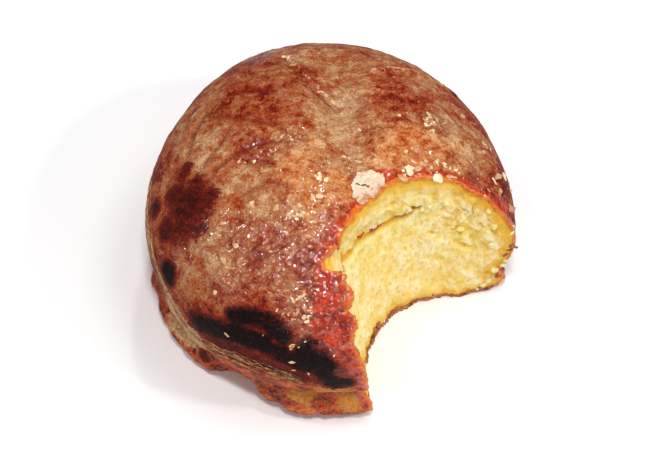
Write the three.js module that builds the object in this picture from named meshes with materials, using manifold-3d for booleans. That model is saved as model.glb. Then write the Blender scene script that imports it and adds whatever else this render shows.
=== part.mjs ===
// A glazed yeast doughnut with no hole, resting on its flat underside, with one bite taken out of
// its front right. Millimetres, +Z up, and the front towards -Y. The origin is the middle of the
// underside of the box around the bitten doughnut.
import * as THREE from "three";
import { mergeVertices } from "three/addons/utils/BufferGeometryUtils.js";
import Module from "manifold-3d";

const { clamp, degToRad, euclideanModulo, lerp, smoothstep } = THREE.MathUtils;

// Side profile of the whole bun, as radii and heights
const bunHeight = 53;
const bunRadius = 45; // at the widest level
const widestLevel = 26;
const waistRadius = 41.2; // the crease between the risen top and the foot
const waistLevel = 11.5;
const lipRadius = 43.8; // the foot spreads out again below the waist
const lipLevel = 5.5;
const flatRadius = 35; // what it rests on
const domeFullness = 2.15; // 2 is an ellipse, and more has squarer shoulders

// Divisions of the bun's mesh
const around = 88;
const flatRings = 5;
const footRings = 3; // on each of the foot's two curves
const flankRings = 4;
const domeRings = 17;

// Plan outline: each wave is a share of the radius, its number of lobes and the angle of a crest
const outlineWaves = [
  { share: 0.018, lobes: 2, crest: degToRad(112) },
  { share: 0.0145, lobes: 3, crest: degToRad(99) },
  { share: 0.0055, lobes: 5, crest: degToRad(47) },
];
const lipWaves = [
  { share: 0.008, lobes: 3, crest: degToRad(-160) },
  { share: 0.008, lobes: 7, crest: degToRad(-92) },
  { share: 0.01, lobes: 4, crest: degToRad(100) },
];
const lipDent = { share: 0.085, angle: degToRad(-119), halfWidth: degToRad(9) };
const waistWaves = [
  { share: 0.09, lobes: 2, crest: degToRad(-70) },
  { share: 0.07, lobes: 5, crest: degToRad(30) },
];

// A shallow valley runs over the top from the back rim to the bite, through a pucker
const valleyPoints = [
  [-1, 27],
  [1.5, 15],
  [4.7, 2],
  [9, -14],
];
const valleySamples = 60;
const valleyDepth = 2.4;
const valleyHalfWidth = 6.5;
const pucker = new THREE.Vector2(1.5, 15);
const puckerDepth = 2.6;
const puckerHalfWidth = 4.5;

// The bite, in plan: angles turn round its centre from +X
const biteCentre = new THREE.Vector2(26.5, -29.4);
const biteRadius = 24;
const biteFlare = 2.6; // the bite widens by this much to its right corner
const flareAngles = [degToRad(112), degToRad(48)];
const flareLimit = 1.3; // how far past the corner it goes on widening
const biteMiddle = degToRad(131);
const toothWidths = [8.6, 6.6, 7.6, 7, 7, 9, 9]; // from the middle of the bite to each end
const toothDepth = 0.6;
const toothSteps = 5; // points along each tooth's mark

// The bite, upright: the lower layer stands out as a toe, and the upper one overhangs a hollow
const toeReach = 7.6;
const toeAngle = degToRad(178);
const toeHalfSpread = degToRad(85);
const toeRise = 1.2; // powers of the depth below the top, so more keeps it nearer the underside
const heelRise = 2;
const heelDepth = 8; // the underside is cut back at the right corner
const heelAngle = degToRad(48);
const heelHalfSpread = degToRad(16);
const foldDepth = 3.2;
const foldLip = 1.5; // the hollow opens to its full depth this far under the fold
const foldHeight = 9; // and fades out over this much height below it
const foldAngles = [degToRad(100), degToRad(176)];
const foldLevels = [39, 50]; // the fold climbs to the skin at its left end
const foldEnds = [0.25, 0.85]; // shares of its length where it is fully open
const tearDepth = 2; // the skin is torn back beside the fold's left end
const tearAngle = degToRad(174);
const tearHalfSpread = degToRad(5);
const tearLevels = [42, 47];
const cutterBottom = -4;
const cutterTop = 60;
const cutterLayers = 28;
const outside = 80; // far enough from the centre to be clear of the bun

const wallSlack = 1; // points this near the bite's outline belong to its wall
const angleSlack = 1e-3;
const mergeGap = 1e-3;

// How far a wavy outline is from round at an angle, as a share of the radius.
function waviness(waves, angle) {
  return waves.reduce((sum, w) => sum + w.share * Math.cos(w.lobes * (angle - w.crest)), 0);
}

// The half profile, from the middle of the underside up to the middle of the top.
function sideProfile() {
  const flat = new THREE.LineCurve(new THREE.Vector2(0, 0), new THREE.Vector2(flatRadius, 0));
  const toe = new THREE.CubicBezierCurve(
    new THREE.Vector2(flatRadius, 0),
    new THREE.Vector2(lerp(flatRadius, lipRadius, 0.6), 0),
    new THREE.Vector2(lipRadius, lipLevel * 0.4),
    new THREE.Vector2(lipRadius, lipLevel),
  );
  const waist = new THREE.CubicBezierCurve(
    new THREE.Vector2(lipRadius, lipLevel),
    new THREE.Vector2(lipRadius, lerp(lipLevel, waistLevel, 0.5)),
    new THREE.Vector2(waistRadius, lerp(lipLevel, waistLevel, 0.6)),
    new THREE.Vector2(waistRadius, waistLevel),
  );
  const flank = new THREE.CubicBezierCurve(
    new THREE.Vector2(waistRadius, waistLevel),
    new THREE.Vector2(lerp(waistRadius, bunRadius, 0.7), lerp(waistLevel, widestLevel, 0.1)),
    new THREE.Vector2(bunRadius, lerp(waistLevel, widestLevel, 0.5)),
    new THREE.Vector2(bunRadius, widestLevel),
  );
  const points = [flat.getPoints(flatRings), toe.getPoints(footRings), waist.getPoints(footRings)];
  points.push(flank.getPoints(flankRings));
  const dome = [];
  for (let i = 0; i <= domeRings; i++) {
    const turn = (i / domeRings) * (Math.PI / 2);
    const out = i === domeRings ? 0 : Math.cos(turn) ** (2 / domeFullness);
    const up = Math.sin(turn) ** (2 / domeFullness);
    dome.push(new THREE.Vector2(bunRadius * out, lerp(widestLevel, bunHeight, up)));
  }
  points.push(dome);
  return points.flatMap((run, i) => (i === 0 ? run : run.slice(1)));
}

// Shortest distance in plan from a point to a run of points.
function distanceTo(run, x, y) {
  return Math.min(...run.map((p) => Math.hypot(p.x - x, p.y - y)));
}

// A dip of depth 1 at no distance, fading out over a half width.
function dip(distance, halfWidth) {
  return Math.exp(-((distance / halfWidth) ** 2));
}

// The uneven bun: a turned profile whose outline waves and whose top sinks along the valley.
function bunGeometry() {
  const bun = new THREE.LatheGeometry(sideProfile(), around);
  bun.rotateX(Math.PI / 2);
  const valleyLine = new THREE.CatmullRomCurve3(
    valleyPoints.map(([x, y]) => new THREE.Vector3(x, y, 0)),
  );
  const valley = valleyLine.getSpacedPoints(valleySamples);
  const place = bun.attributes.position;
  for (let i = 0; i < place.count; i++) {
    const [x, y, z] = [place.getX(i), place.getY(i), place.getZ(i)];
    const angle = Math.atan2(y, x);
    const onFoot = 1 - smoothstep(z, lipLevel, waistLevel);
    const onTop = smoothstep(z, widestLevel, bunHeight);
    const dent = lipDent.share * dip(angle - lipDent.angle, lipDent.halfWidth);
    const lipOutline = waviness(lipWaves, angle) - dent;
    const outline = 1 + lerp(waviness(outlineWaves, angle), lipOutline, onFoot);
    const valleyDip = valleyDepth * dip(distanceTo(valley, x, y), valleyHalfWidth);
    const puckerDip = puckerDepth * dip(Math.hypot(x - pucker.x, y - pucker.y), puckerHalfWidth);
    const nearWaist = dip(z - waistLevel, waistLevel / 2);
    const waistRise = waistLevel * waviness(waistWaves, angle) * nearWaist;
    place.setXYZ(i, x * outline, y * outline, z + waistRise - onTop * (valleyDip + puckerDip));
  }
  return bun;
}

// The angles where one tooth's mark ends and the next begins, from the right end to the left.
function toothEdges() {
  const left = [biteMiddle];
  const right = [];
  for (const width of toothWidths) {
    const turn = width / biteRadius;
    left.push(left.at(-1) + turn);
    right.unshift((right[0] ?? biteMiddle) - turn);
  }
  return [...right, ...left];
}

// Each tooth leaves a shallow scallop, and a ridge stands between two of them.
function toothMark(edges, angle) {
  const next = Math.max(1, edges.findIndex((edge) => edge > angle));
  const across = (angle - edges[next - 1]) / (edges[next] - edges[next - 1]);
  return toothDepth * Math.abs(Math.sin(across * Math.PI));
}

// The hollow under the overhanging upper layer, which is sharp above and fades out downwards.
function foldHollow(angle, level) {
  const along = clamp((angle - foldAngles[0]) / (foldAngles[1] - foldAngles[0]), 0, 1);
  const below = lerp(foldLevels[0], foldLevels[1], along ** 2) - level;
  const ends = smoothstep(along, 0, foldEnds[0]) * (1 - smoothstep(along, foldEnds[1], 1));
  const fade = Math.exp(-Math.max(0, below) / foldHeight);
  return foldDepth * ends * smoothstep(below, 0, foldLip) * fade;
}

// How far the bite's wall stands from the bite's centre, at an angle round it and a height.
function biteReach(edges, angle, level) {
  const low = 1 - clamp(level / bunHeight, 0, 1);
  const toCorner = (angle - flareAngles[0]) / (flareAngles[1] - flareAngles[0]);
  const flare = biteFlare * clamp(toCorner, 0, flareLimit) ** 2;
  const toe = toeReach * dip(angle - toeAngle, toeHalfSpread) * low ** toeRise;
  const heel = heelDepth * dip(angle - heelAngle, heelHalfSpread) * low ** heelRise;
  const tear = tearDepth * dip(angle - tearAngle, tearHalfSpread) * smoothstep(level, ...tearLevels);
  const hollow = foldHollow(angle, level);
  return biteRadius + flare - toe + heel + tear + hollow + toothMark(edges, angle);
}

// The angle of a direction in plan, taken in the full turn that begins at a given angle.
function angleAfter(start, dx, dy) {
  return start + euclideanModulo(Math.atan2(dy, dx) - start, 2 * Math.PI);
}

// The solid that the bite takes away: a scalloped outline drawn upwards, its wall moved by height.
function biteGeometry() {
  const edges = toothEdges();
  const outline = new THREE.Shape();
  for (let tooth = 1; tooth < edges.length; tooth++) {
    for (let step = tooth === 1 ? 0 : 1; step <= toothSteps; step++) {
      const angle = lerp(edges[tooth - 1], edges[tooth], step / toothSteps);
      const x = biteCentre.x + biteRadius * Math.cos(angle);
      const y = biteCentre.y + biteRadius * Math.sin(angle);
      if (tooth === 1 && step === 0) outline.moveTo(x, y);
      else outline.lineTo(x, y);
    }
  }
  outline.lineTo(0, -outside);
  outline.lineTo(outside, -outside);
  const depth = cutterTop - cutterBottom;
  const bite = new THREE.ExtrudeGeometry(outline, { depth, steps: cutterLayers, bevelEnabled: false });
  bite.translate(0, 0, cutterBottom);
  const place = bite.attributes.position;
  for (let i = 0; i < place.count; i++) {
    const [dx, dy] = [place.getX(i) - biteCentre.x, place.getY(i) - biteCentre.y];
    if (Math.hypot(dx, dy) > biteRadius + wallSlack) continue;
    const angle = angleAfter(edges[0] - angleSlack, dx, dy);
    const reach = biteReach(edges, angle, place.getZ(i));
    place.setX(i, biteCentre.x + reach * Math.cos(angle));
    place.setY(i, biteCentre.y + reach * Math.sin(angle));
  }
  return bite;
}

// A closed three.js geometry as a solid that can be cut.
function solidOf(wasm, geometry) {
  const bare = geometry.clone();
  bare.deleteAttribute("normal");
  bare.deleteAttribute("uv");
  const merged = mergeVertices(bare, mergeGap);
  const vertProperties = new Float32Array(merged.attributes.position.array);
  const triVerts = new Uint32Array(merged.index.array);
  return new wasm.Manifold(new wasm.Mesh({ numProp: 3, vertProperties, triVerts }));
}

// The bitten doughnut, with the middle of its underside at the origin.
async function doughnutMesh() {
  const wasm = await Module();
  wasm.setup();
  const bitten = solidOf(wasm, bunGeometry()).subtract(solidOf(wasm, biteGeometry())).getMesh();
  const geometry = new THREE.BufferGeometry();
  geometry.setAttribute("position", new THREE.BufferAttribute(bitten.vertProperties, 3));
  geometry.setIndex(new THREE.BufferAttribute(bitten.triVerts, 1));
  geometry.computeBoundingBox();
  const box = geometry.boundingBox;
  geometry.translate(-(box.min.x + box.max.x) / 2, -(box.min.y + box.max.y) / 2, -box.min.z);
  const friedDough = new THREE.MeshStandardMaterial({ color: 0x9a5a34, roughness: 0.45, metalness: 0 });
  const mesh = new THREE.Mesh(geometry, friedDough);
  mesh.name = "doughnut";
  return mesh;
}

const part = new THREE.Group();
part.add(await doughnutMesh());

export default part;
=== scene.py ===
import math
import random

import bpy
import numpy as np
from mathutils import Matrix, Quaternion, Vector, noise
from mathutils.bvhtree import BVHTree


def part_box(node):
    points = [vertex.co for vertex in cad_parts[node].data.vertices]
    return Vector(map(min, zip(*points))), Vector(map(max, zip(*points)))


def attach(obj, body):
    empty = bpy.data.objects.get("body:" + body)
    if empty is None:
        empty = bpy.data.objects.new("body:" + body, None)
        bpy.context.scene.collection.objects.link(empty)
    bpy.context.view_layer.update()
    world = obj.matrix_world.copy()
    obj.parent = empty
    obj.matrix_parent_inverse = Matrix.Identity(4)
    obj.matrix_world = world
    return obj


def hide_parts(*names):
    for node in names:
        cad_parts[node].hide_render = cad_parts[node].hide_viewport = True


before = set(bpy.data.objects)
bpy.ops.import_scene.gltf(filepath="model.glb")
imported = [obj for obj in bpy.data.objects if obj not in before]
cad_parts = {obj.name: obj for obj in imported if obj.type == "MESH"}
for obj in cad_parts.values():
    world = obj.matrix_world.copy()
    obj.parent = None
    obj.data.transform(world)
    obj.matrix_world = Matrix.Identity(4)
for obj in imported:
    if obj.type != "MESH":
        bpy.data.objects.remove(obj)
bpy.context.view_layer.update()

# Lengths below are in millimetres, with +Z up and the front towards -Y, unless a note says otherwise.
mm = 0.001
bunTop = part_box("doughnut")[1][2] / mm
random.seed(11)
noise.seed_set(11)  # without it, noise_vector would differ from run to run
biteCentre = (26.5, -29.4)  # in plan


# ---- selecting and shaping

def pickOnly(piece):
    if bpy.context.object and bpy.context.object.mode != "OBJECT":
        bpy.ops.object.mode_set(mode="OBJECT")
    bpy.ops.object.select_all(action="DESELECT")
    piece.select_set(True)
    bpy.context.view_layer.objects.active = piece


def openMesh(piece):
    # edit mode, with all of the piece selected
    pickOnly(piece)
    bpy.ops.object.mode_set(mode="EDIT")
    bpy.ops.mesh.select_all(action="SELECT")


def closeMesh():
    bpy.ops.object.mode_set(mode="OBJECT")


def pickFaces(piece, wanted):
    # edit mode, with only the wanted faces selected
    openMesh(piece)
    bpy.ops.mesh.select_mode(type="FACE")
    bpy.ops.mesh.select_all(action="DESELECT")
    closeMesh()
    piece.data.polygons.foreach_set("select", np.asarray(wanted, bool))
    bpy.ops.object.mode_set(mode="EDIT")


def deleteFaces(piece, unwanted):
    pickFaces(piece, unwanted)
    bpy.ops.mesh.delete(type="FACE")
    closeMesh()


def readAll(source, what):
    found = np.empty(len(source) * 3)
    source.foreach_get(what, found)
    return found.reshape(-1, 3)


def points(piece):
    return readAll(piece.data.vertices, "co") / mm


def ease(values, low, high):
    share = np.clip((values - low) / (high - low), 0, 1)
    return share * share * (3 - 2 * share)


def bell(distance, width):
    # 1 at no distance, falling smoothly to nearly 0 at twice the width
    return np.exp(-(distance / width) ** 2)


def roughly(at, size, seed=0.0):
    # soft noise from about -1 to 1, with lumps of a size in millimetres
    shift = Vector((seed * 17.3, seed * 5.1, seed * 9.7))
    return np.array([noise.noise(Vector(p) / size + shift) for p in at])


def toLine(at, line):
    # how far each point is from a line of straight stretches
    nearest = np.full(len(at), np.inf)
    corners = [np.array(p, float) for p in line]
    for start, end in zip(corners, corners[1:]):
        run = end - start
        share = np.clip((at - start) @ run / (run @ run), 0, 1)
        nearest = np.minimum(nearest, np.linalg.norm(at - start - share[:, None] * run, axis=1))
    return nearest


def setWeights(piece, weights, steps=60):
    # vertex groups by name, with weights rounded to a few steps so that many points are added at once
    for name, values in weights.items():
        group = piece.vertex_groups.new(name=name)
        levels = np.round(np.clip(values, 0, 1) * steps).astype(int)
        for level in range(1, steps + 1):
            members = np.flatnonzero(levels == level)
            if len(members):
                group.add(members.tolist(), level / steps, "REPLACE")


def setFields(piece, fields):
    # numbers at each point, by name, for the materials to read
    for name, values in fields.items():
        field = piece.data.attributes.new(name, "FLOAT", "POINT")
        field.data.foreach_set("value", np.full(len(piece.data.vertices), values, np.float32))


def getField(piece, name):
    found = np.empty(len(piece.data.vertices), np.float32)
    piece.data.attributes[name].data.foreach_get("value", found)
    return found.astype(float)


def applyModifier(piece, kind, **settings):
    pickOnly(piece)
    modifier = piece.modifiers.new(kind.lower(), kind)
    for name, value in settings.items():
        setattr(modifier, name, value)
    bpy.ops.object.modifier_apply(modifier=modifier.name)


def cloudTexture(size, depth=2):
    made = bpy.data.textures.new("clouds", "CLOUDS")
    made.noise_scale = size * mm
    made.noise_depth = depth
    return made


def pushOut(piece, height, group="", texture=None):
    # moves the surface along its normals: by the height itself, or up to half of it each way by a texture
    middle = 0.5 if texture else 0.0
    extra = {"texture": texture, "texture_coords": "LOCAL"} if texture else {}
    applyModifier(piece, "DISPLACE", strength=height * mm, mid_level=middle, vertex_group=group, **extra)


def slide(piece, length, direction, group):
    # moves the surface straight along one axis
    settings = {"direction": direction, "space": "LOCAL", "vertex_group": group, "mid_level": 0.0}
    applyModifier(piece, "DISPLACE", strength=length * mm, **settings)


# ---- materials

class Wire:
    # a socket of a material's nodes: Python's operators on it add Math nodes
    def __init__(self, tree, socket=None):
        self.tree = tree
        self.socket = socket

    def node(self, kind, settings, inputs, output=0):
        made = self.tree.nodes.new("ShaderNode" + kind)
        for name, value in settings.items():
            if name == "stops":
                fillRamp(made.color_ramp, value)
            else:
                setattr(made, name, value)
        for key, value in inputs.items():
            if isinstance(value, Wire):
                self.tree.links.new(value.socket, made.inputs[key])
            else:
                made.inputs[key].default_value = value
        return Wire(self.tree, made.outputs[output] if made.outputs else None)

    def math(self, operation, first, second=0.0):
        return self.node("Math", {"operation": operation}, {0: first, 1: second})

    def __add__(self, other):
        return self.math("ADD", self, other)

    def __radd__(self, other):
        return self.math("ADD", other, self)

    def __sub__(self, other):
        return self.math("SUBTRACT", self, other)

    def __rsub__(self, other):
        return self.math("SUBTRACT", other, self)

    def __mul__(self, other):
        return self.math("MULTIPLY", self, other)

    def __rmul__(self, other):
        return self.math("MULTIPLY", other, self)

    def above(self, low, high):
        # 0 below the low value, 1 above the high one, and smooth between
        ends = {"Value": self, "From Min": low, "From Max": high}
        return self.node("MapRange", {"interpolation_type": "SMOOTHSTEP"}, ends)

    def most(self, other):
        return self.math("MAXIMUM", self, other)

    def least(self, other):
        return self.math("MINIMUM", self, other)

    def blend(self, first, second):
        # the first colour where this is 0, and the second where it is 1
        colours = {0: self}
        for key, colour in ((6, first), (7, second)):
            colours[key] = colour if isinstance(colour, Wire) else (*colour, 1.0)
        return self.node("Mix", {"data_type": "RGBA"}, colours, 2)

    def field(self, name):
        return self.node("Attribute", {"attribute_name": name}, {}, "Fac")

    def ramp(self, stops):
        return self.node("ValToRGB", {"stops": stops}, {"Fac": self}, "Color")

    def stirred(self, clouds, **amounts):
        # this value, with each named noise, which lies about 0.5, added by its amount
        total = self
        for name, amount in amounts.items():
            total = total + (clouds[name] - 0.5) * amount
        return total

    def height(self):
        return self.node("SeparateXYZ", {}, {0: self}, "Z")

    def bump(self, depth):
        # the normal of this relief, with its full depth in millimetres
        return self.node("Bump", {}, {"Height": self, "Distance": depth * mm, "Strength": 1.0})

    def scaled(self, factor):
        return self.node("VectorMath", {"operation": "SCALE"}, {0: self, "Scale": factor})

    def stretched(self, factors):
        return self.node("VectorMath", {"operation": "MULTIPLY"}, {0: self, 1: factors})

    def moved(self, other):
        return self.node("VectorMath", {"operation": "ADD"}, {0: self, 1: other})

    def lumps(self, size, detail=2.0, roughness=0.5, output="Fac"):
        # noise about 0.5, with lumps of a size in the units of this place
        inputs = {"Vector": self, "Scale": 1 / size, "Detail": detail, "Roughness": roughness}
        return self.node("TexNoise", {}, inputs, output)

    def cells(self, size, feature="F1"):
        # the distance to the nearest of some scattered points, or to the edge between two
        return self.node("TexVoronoi", {"feature": feature}, {"Vector": self, "Scale": 1 / size}, "Distance")

    def warped(self, size, reach):
        # this place, pushed about by noise up to the reach each way
        push = self.lumps(size, 2.0, output="Color").moved((-0.5, -0.5, -0.5))
        return self.moved(push.scaled(2 * reach))


def fillRamp(ramp, stops):
    for place, colour in stops[2:]:
        ramp.elements.new(place)
    for element, (place, colour) in zip(ramp.elements, sorted(stops)):
        element.position = place
        element.color = (*colour, 1.0)


def newMaterial(name):
    material = bpy.data.materials.new(name)
    material.use_nodes = True
    tree = material.node_tree
    tree.nodes.clear()
    start = Wire(tree)
    place = start.node("TexCoord", {}, {}, "Object").scaled(1 / mm)
    return material, start, place


def surface(start, look):
    return start.node("BsdfPrincipled", {}, look, "BSDF")


def closeMaterial(start, look, relief, depth):
    # the surface, with a relief of its own whose full depth is in millimetres
    look["Normal"] = relief.bump(depth)
    start.node("OutputMaterial", {}, {"Surface": surface(start, look)})


def wear(piece, material):
    piece.data.materials.clear()
    piece.data.materials.append(material)
    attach(piece, "root")


# ---- the dough's surface, and which of it is bitten

doughShape = {
    "voxel": 0.6,  # the finer this is, the finer the mesh
    "mergeGap": 0.01,
    "biteReach": 34,  # the bite's wall is nearer than this to its centre, in plan
    "wallFacing": 0.35,  # it faces that centre at least this squarely
    "wallTilt": 0.6,  # and up or down no more than this
    "hollowLevel": 36,  # above this, what faces down is the hollow under the fold
    "hollowFacing": -0.5,  # even where it turns away from the centre by this much
}


def copyDough(name):
    piece = bpy.data.objects.new(name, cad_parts["doughnut"].data.copy())
    bpy.context.scene.collection.objects.link(piece)
    openMesh(piece)
    bpy.ops.mesh.remove_doubles(threshold=doughShape["mergeGap"] * mm)
    closeMesh()
    return piece


def bittenFaces(piece):
    middles = readAll(piece.data.polygons, "center") / mm
    normals = readAll(piece.data.polygons, "normal")
    toBite = np.array(biteCentre) - middles[:, :2]
    reach = np.linalg.norm(toBite, axis=1)
    squareness = (normals[:, :2] * toBite).sum(1) / reach
    upright = np.abs(normals[:, 2]) < doughShape["wallTilt"]
    onWall = upright & (squareness > doughShape["wallFacing"])
    inHollow = (normals[:, 2] < 0.1) & (middles[:, 2] > doughShape["hollowLevel"])
    inHollow &= squareness > doughShape["hollowFacing"]
    return (reach < doughShape["biteReach"]) & (onWall | inHollow)


def faceTree(piece, wanted):
    corners = [v.co / mm for v in piece.data.vertices]
    faces = [tuple(f.vertices) for f, take in zip(piece.data.polygons, wanted) if take]
    return BVHTree.FromPolygons(corners, faces)


def distances(at, tree):
    return np.array([tree.find_nearest(Vector(p))[3] for p in at])


dough = copyDough("dough")
bitten = bittenFaces(dough)
wallTree = faceTree(dough, bitten)
skinTree = faceTree(dough, ~bitten)
applyModifier(dough, "REMESH", mode="VOXEL", voxel_size=doughShape["voxel"] * mm, use_smooth_shade=True)
parts = {"fromWall": wallTree, "fromSkin": skinTree}
setFields(dough, {name: distances(points(dough), tree) for name, tree in parts.items()})
print("dough surface:", len(dough.data.vertices), "points,", int(bitten.sum()), "bitten faces")


# ---- the crust: the whole bun, sunk behind the crumb where it is bitten

crustLook = {
    "sunk": 1.8,  # how far it lies behind the crumb inside the bite
    "rag": 0.35,  # how ragged its edge is, and at the bite's left side
    "leftRag": 0.8,
    "baseLip": 0.9,  # how far the thin crust under the bun reaches up the bite's wall
    "lipStep": 0.45,  # how far that lip and the rim of the bite stand out
    "rimStep": 0.3,
    "lumps": 0.9,  # the relief of the skin, of the film on it, of the foot and of the wet parts
    "film": 0.3,
    "footLumps": 2.4,
    "crinkle": 1.3,
    "flap": 4.2,  # how far the torn crust stands out over the bite's left side
    "footTop": (11, 16),  # the foot's relief fades out between these heights
    "waist": 21,
    "grain": 0.65,  # the relief of the dry crust's grain, and of the drops of glaze
    "drops": 1.6,
    "glaze": 0.7,  # how much of the glaze's gloss the wettest places have
}

# marks on the crust: a place, how far it spreads and how strong it is
burntSpots = [
    ((-32.5, -11.5, 44.5), 6.6, 0.95), ((-28.8, -12, 46.6), 4.0, 0.85), ((-34.6, -2.6, 43.8), 3.0, 0.8),
    ((-36, -8.5, 42.3), 4.2, 0.85), ((-38, -15, 38.3), 3.4, 0.95), ((-34.4, -17, 41), 4.0, 0.9),
    ((-30.5, -17.5, 44), 3.4, 0.75), ((-41, -8, 36.5), 2.7, 1.0), ((-37, -23.5, 33), 3.1, 1.6),
    ((14, 40, 30), 5.0, 0.8), ((42, 12, 24), 4.0, 0.85), ((-31, 29, 30), 6.0, 0.9), ((22, 37, 22), 3.5, 0.8),
    ((4, -44, 32), 3, 0.6), ((-6.5, -42, 36), 3, 0.5), ((-22, -36, 8), 2.4, 0.7), ((-29, -31, 8), 2.2, 0.8),
]
burntLines = [
    ([(-29.5, -34, 28.5), (-25, -37, 31), (-21, -38.8, 32.8), (-17.3, -40.5, 33.5), (-13.8, -41.8, 33.6)],
     3.2, 1.45),
    ([(-20.5, -37, 36.5), (-16, -38, 38.4), (-12.6, -39.3, 38.4), (-9.6, -41.4, 36.6)], 2.8, 1.25),
    ([(-12, -42.6, 33), (-8, -44.2, 31.4), (-4, -45, 29)], 2.8, 1.3),
    ([(-2.9, -44, 33.8), (-0.6, -44.8, 31.5), (1.5, -45.3, 27.5), (4, -45.2, 22)], 3.6, 1.65),
    ([(-26, -37, 26.5), (-19.7, -40.9, 27.5), (-13.4, -43.5, 27), (-5.7, -45.3, 25)], 3.0, 0.85),
]
redSpots = [
    ((-19, 15, 49), 8, 1.0), ((-26, 18, 46), 5, 0.9), ((-11, 9, 52), 5, 0.7), ((-18, -1, 51), 5, 0.9),
    ((16, 18, 48), 7, 1.0), ((22, 12, 48), 4, 0.7), ((14, 25, 46), 4, 0.8), ((40, -2, 38), 6, 1.0),
    ((38, 6, 38), 4, 0.6), ((-40, 2, 38), 5, 0.8), ((-20, -22, 48), 5, 0.8), ((-13, -25, 48), 6, 0.9),
    ((-6, -31, 46), 7, 0.8), ((-17, -33, 43), 5, 0.8), ((-25, 5, 48), 3, 0.6), ((5, 29, 47), 6, 0.5),
    ((-8, 24, 49), 4, 0.7), ((30, 20, 42), 5, 0.6), ((-20, 30, 42), 7, 0.8), ((0, 42, 30), 8, 0.8),
    ((30, 32, 30), 7, 0.7), ((-42, 14, 26), 7, 0.7), ((43, -4, 26), 6, 0.8), ((-10, 38, 36), 5, 0.7),
    ((-4, -12.5, 52), 3.5, 0.7), ((-25, -33, 38), 4, 0.6),
]
tanSpots = [
    ((1, 11, 49), 7, 1.4), ((0, 5, 50.5), 5, 1.0), ((4, 18, 48), 5, 1.4), ((3, 26, 47), 6, 1.1),
    ((-29, 3, 47), 7, 1.0), ((-22, -9, 49), 7, 0.8),
    ((28, 13, 45), 7, 0.9), ((-13, -14, 51), 6, 0.5), ((-33, -28, 38), 8, 0.6), ((-28, -24, 43), 6, 0.6),
    ((-24, -33, 39), 6, 0.5), ((5, 3, 51), 6, 0.8), ((34, 6, 43), 5, 0.8), ((22, 24, 45), 5, 0.7),
    ((-38, -15, 37), 4, 0.6), ((-4, 33, 43), 6, 0.8), ((-33, 18, 41), 6, 0.8), ((12, 34, 38), 6, 0.7),
]
orangeSpots = [
    ((1, -11, 51), 6, 1.0), ((-4, -13, 51.5), 5, 1.1), ((-7, -6, 52.5), 6, 0.8), ((3, -17, 50.5), 4, 0.7),
    ((20, 1, 50), 8, 1.0), ((12, -1, 51), 5, 0.8), ((28, 3, 47), 5, 0.6), ((-4, 0, 52), 4, 0.5),
    ((-14, 4, 52), 4, 0.5), ((10, 20, 49), 3, 0.4), ((-4, -20, 50), 4, 0.6),
]
rawSpots = [
    ((2.5, -26, 48), 4.5, 1.0), ((1.5, -31, 46), 4.5, 0.9), ((2.5, -36, 43.5), 5, 1.0),
    ((2, -40, 39), 5, 1.0), ((5, -43, 34), 4, 1.0), ((6, -45, 28), 3.5, 0.9), ((0, -43, 36), 3, 0.6),
    ((12, -6.5, 50.5), 2.6, 0.9), ((8, -15, 49.5), 2.4, 0.9), ((40, -6, 37), 4, 0.8),
    ((43, -7, 28), 4, 0.8), ((43, -9, 18), 4, 0.8),
]
wetSpots = [
    ((-3, -36, 44), 7, 1.0), ((1, -33, 45), 6, 1.0), ((-2, -30, 47), 6, 1.0), ((-18, -23, 47), 7, 0.9),
    ((-12, -28, 47), 6, 0.8), ((-22, -29, 43), 6, 0.7), ((-2, -13, 52), 5, 1.0), ((-9, -20, 50), 6, 0.8),
    ((-3, -20, 50.5), 6, 0.9), ((-16, -1, 51.5), 4, 0.8), ((-11, 2, 52.4), 4, 0.7), ((-3, -8, 52), 4, 0.7),
    ((24, 12, 47.5), 4, 0.6), ((2, -25, 49), 5, 0.9), ((3, -40, 40), 6, 0.9), ((-5, -40, 40), 5, 0.8),
    ((-28, -22, 44.5), 5, 0.7), ((-33, -23, 40), 4, 0.5), ((-8, -26, 49), 6, 0.9), ((22, -1, 50), 5, 0.6),
    ((7, -3, 51), 4, 0.5), ((30, -1, 46), 5, 0.5), ((2, 18, 48), 4, 0.5), ((-16, 34, 38), 6, 0.6),
]
ochreSpots = [
    ((2, -44.5, 18), 4.5, 1.0), ((7, -43, 14), 3.5, 1.0), ((-5, -42, 11), 4, 0.9), ((7, -42.5, 8.5), 4, 1.0),
    ((-16, -38, 8), 3, 0.5), ((-36, -22, 8), 3, 0.6), ((-38, 16, 10), 6, 0.5), ((-25, 34, 8), 9, 0.5),
    ((12, 41, 9), 9, 0.5), ((42, 10, 10), 8, 0.5), ((43, -2, 9), 4, 0.5),
]
# where the bite's edge bulges out over the crust, or the crust over the bite if the depth is negative
notches = [
    ((0.5, -29, 47.5), 1.6, 1.8), ((3, -25, 49), 2.2, -0.9), ((6, -38, 41), 2.6, -0.9),
    ((20, -6, 50), 2.5, -0.5), ((34, -5, 44), 2.5, -0.5),
]
flapSpots = [((1.5, -31, 46.5), 1.6, 0.8), ((3, -34.5, 44), 3.2, 1.0), ((5, -39.5, 39.5), 3.0, 0.6)]
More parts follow.
